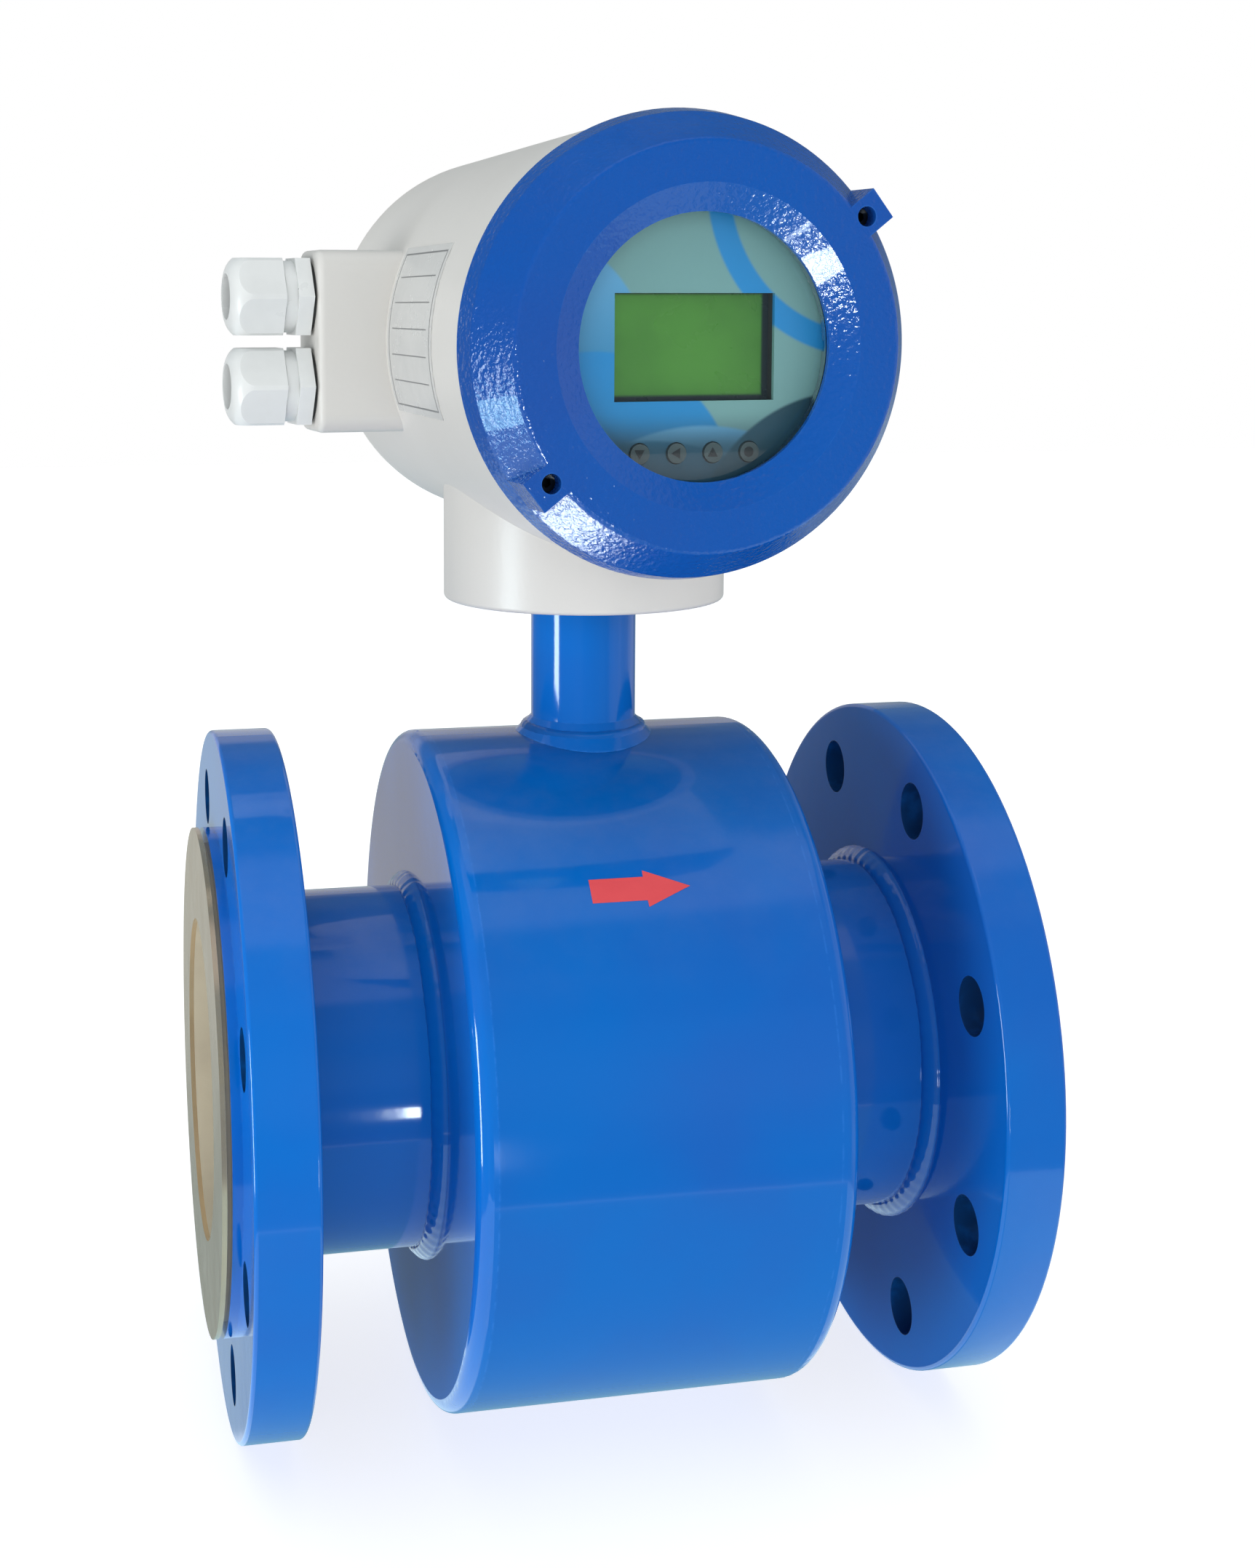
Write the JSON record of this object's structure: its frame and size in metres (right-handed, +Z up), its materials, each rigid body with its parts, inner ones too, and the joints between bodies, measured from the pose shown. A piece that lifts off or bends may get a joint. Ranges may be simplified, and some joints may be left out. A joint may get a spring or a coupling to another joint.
{
  "type": "electromagnetic flow meter",
  "caption": "Flanged flow tube with a round coil housing and a neck-mounted converter head with a display window and cable glands.",
  "frame": {"origin": "where the axis of the flow tube meets the axis of the neck, in the middle of the bore", "axes": "+X along the flow from inlet to outlet, +Z up the neck to the converter head, the display faces about -Y"},
  "size_m": [0.25, 0.22, 0.4095],
  "materials": {
    "blue_enamel": "gloss",
    "blue_cover": "gloss",
    "white_enamel": "satin",
    "stainless": "polished",
    "liner_white": "satin",
    "copper_winding": "satin",
    "core_steel": "satin",
    "black_plastic": "satin",
    "black_rubber": "matte",
    "zinc_steel": "satin",
    "black_steel": "satin",
    "window_glass": "polished",
    "bare_aluminium": "satin",
    "face_print": "satin",
    "lcd_green": "gloss",
    "board_green": "satin",
    "terminal_green": "satin",
    "key_grey": "satin",
    "nylon_white": "satin"
  },
  "bodies": {
    "sensor": {"measuring_tube": "blue_enamel", "tube_liner": "liner_white", "inlet_flange": "blue_enamel", "outlet_flange": "blue_enamel", "inlet_ground_ring": "stainless", "outlet_ground_ring": "stainless", "coil_shell": "blue_enamel", "inlet_end_plate": "blue_enamel", "outlet_end_plate": "blue_enamel", "field_yoke": "core_steel", "upper_coil": "copper_winding", "lower_coil": "copper_winding", "upper_pole": "core_steel", "lower_pole": "core_steel", "electrodes": "stainless", "electrode_bushes": "black_plastic", "electrode_nuts": "stainless", "neck_tube": "blue_enamel", "swivel_flange": "blue_enamel", "neck_seal": "black_rubber", "lead_bundle": "black_plastic"},
    "head": {"housing": "white_enamel", "clamp_ring": "zinc_steel", "clamp_screws": "zinc_steel", "face_plate": "face_print", "display_carrier": "black_plastic", "lcd_glass": "lcd_green", "display_board": "board_green", "key_switches": "black_plastic", "main_board": "board_green", "terminal_board": "board_green", "front_spacers": "zinc_steel", "rear_spacers": "zinc_steel", "face_screws": "zinc_steel", "terminal_block": "terminal_green", "power_module": "black_plastic", "upper_gland_body": "nylon_white", "upper_gland_gasket": "black_rubber", "lower_gland_body": "nylon_white", "lower_gland_gasket": "black_rubber"},
    "cover_seal": {"cover_seal": "black_rubber"},
    "cover": {"front_cover": "blue_cover", "lock_screws": "black_steel", "window_glass": "window_glass", "glass_gasket": "black_rubber", "glass_retainer": "bare_aluminium"},
    "upper_seal": {"upper_gland_seal": "black_rubber"},
    "upper_nut": {"upper_gland_nut": "nylon_white"},
    "lower_seal": {"lower_gland_seal": "black_rubber"},
    "lower_nut": {"lower_gland_nut": "nylon_white"},
    "key_1": {"key_1": "key_grey"},
    "key_2": {"key_2": "key_grey"},
    "key_3": {"key_3": "key_grey"},
    "key_4": {"key_4": "key_grey"}
  },
  "joints": [
    {"name": "head_swivel", "type": "hinge", "parent": "sensor", "child": "head", "pos_m": [0, 0, 0.151], "axis": [0, 0, 1], "range_deg": [-170, 170]},
    {"name": "cover_travel", "type": "slide", "parent": "head", "child": "cover_seal", "axis": [0.0958, -0.9954, 0], "range_m": [0, 0.01]},
    {"name": "cover_turn", "type": "hinge", "parent": "cover_seal", "child": "cover", "pos_m": [0, 0, 0.233], "axis": [0.0958, -0.9954, 0], "range_deg": [0, 1800]},
    {"name": "upper_seal_travel", "type": "slide", "parent": "head", "child": "upper_seal", "axis": [-0.9954, -0.0958, 0], "range_m": [0, 0.004]},
    {"name": "upper_nut_turn", "type": "hinge", "parent": "upper_seal", "child": "upper_nut", "pos_m": [-0.10553, 0.01194, 0.247], "axis": [-0.9954, -0.0958, 0], "range_deg": [0, 960]},
    {"name": "lower_seal_travel", "type": "slide", "parent": "head", "child": "lower_seal", "axis": [-0.9954, -0.0958, 0], "range_m": [0, 0.004]},
    {"name": "lower_nut_turn", "type": "hinge", "parent": "lower_seal", "child": "lower_nut", "pos_m": [-0.10553, 0.01194, 0.219], "axis": [-0.9954, -0.0958, 0], "range_deg": [0, 960]},
    {"name": "key_1_press", "type": "slide", "parent": "head", "child": "key_1", "axis": [-0.0958, 0.9954, 0], "range_m": [0, 0.0005], "stiffness_N_per_m": 400, "springref_m": -0.002},
    {"name": "key_2_press", "type": "slide", "parent": "head", "child": "key_2", "axis": [-0.0958, 0.9954, 0], "range_m": [0, 0.0005], "stiffness_N_per_m": 400, "springref_m": -0.002},
    {"name": "key_3_press", "type": "slide", "parent": "head", "child": "key_3", "axis": [-0.0958, 0.9954, 0], "range_m": [0, 0.0005], "stiffness_N_per_m": 400, "springref_m": -0.002},
    {"name": "key_4_press", "type": "slide", "parent": "head", "child": "key_4", "axis": [-0.0958, 0.9954, 0], "range_m": [0, 0.0005], "stiffness_N_per_m": 400, "springref_m": -0.002}
  ],
  "couplings": [
    {"joint": "cover_travel", "follows": "cover_turn", "m_per_rad": 0.0003183},
    {"joint": "upper_nut_turn", "follows": "upper_seal_travel", "rad_per_m": 4188.7},
    {"joint": "lower_nut_turn", "follows": "lower_seal_travel", "rad_per_m": 4188.7}
  ]
}
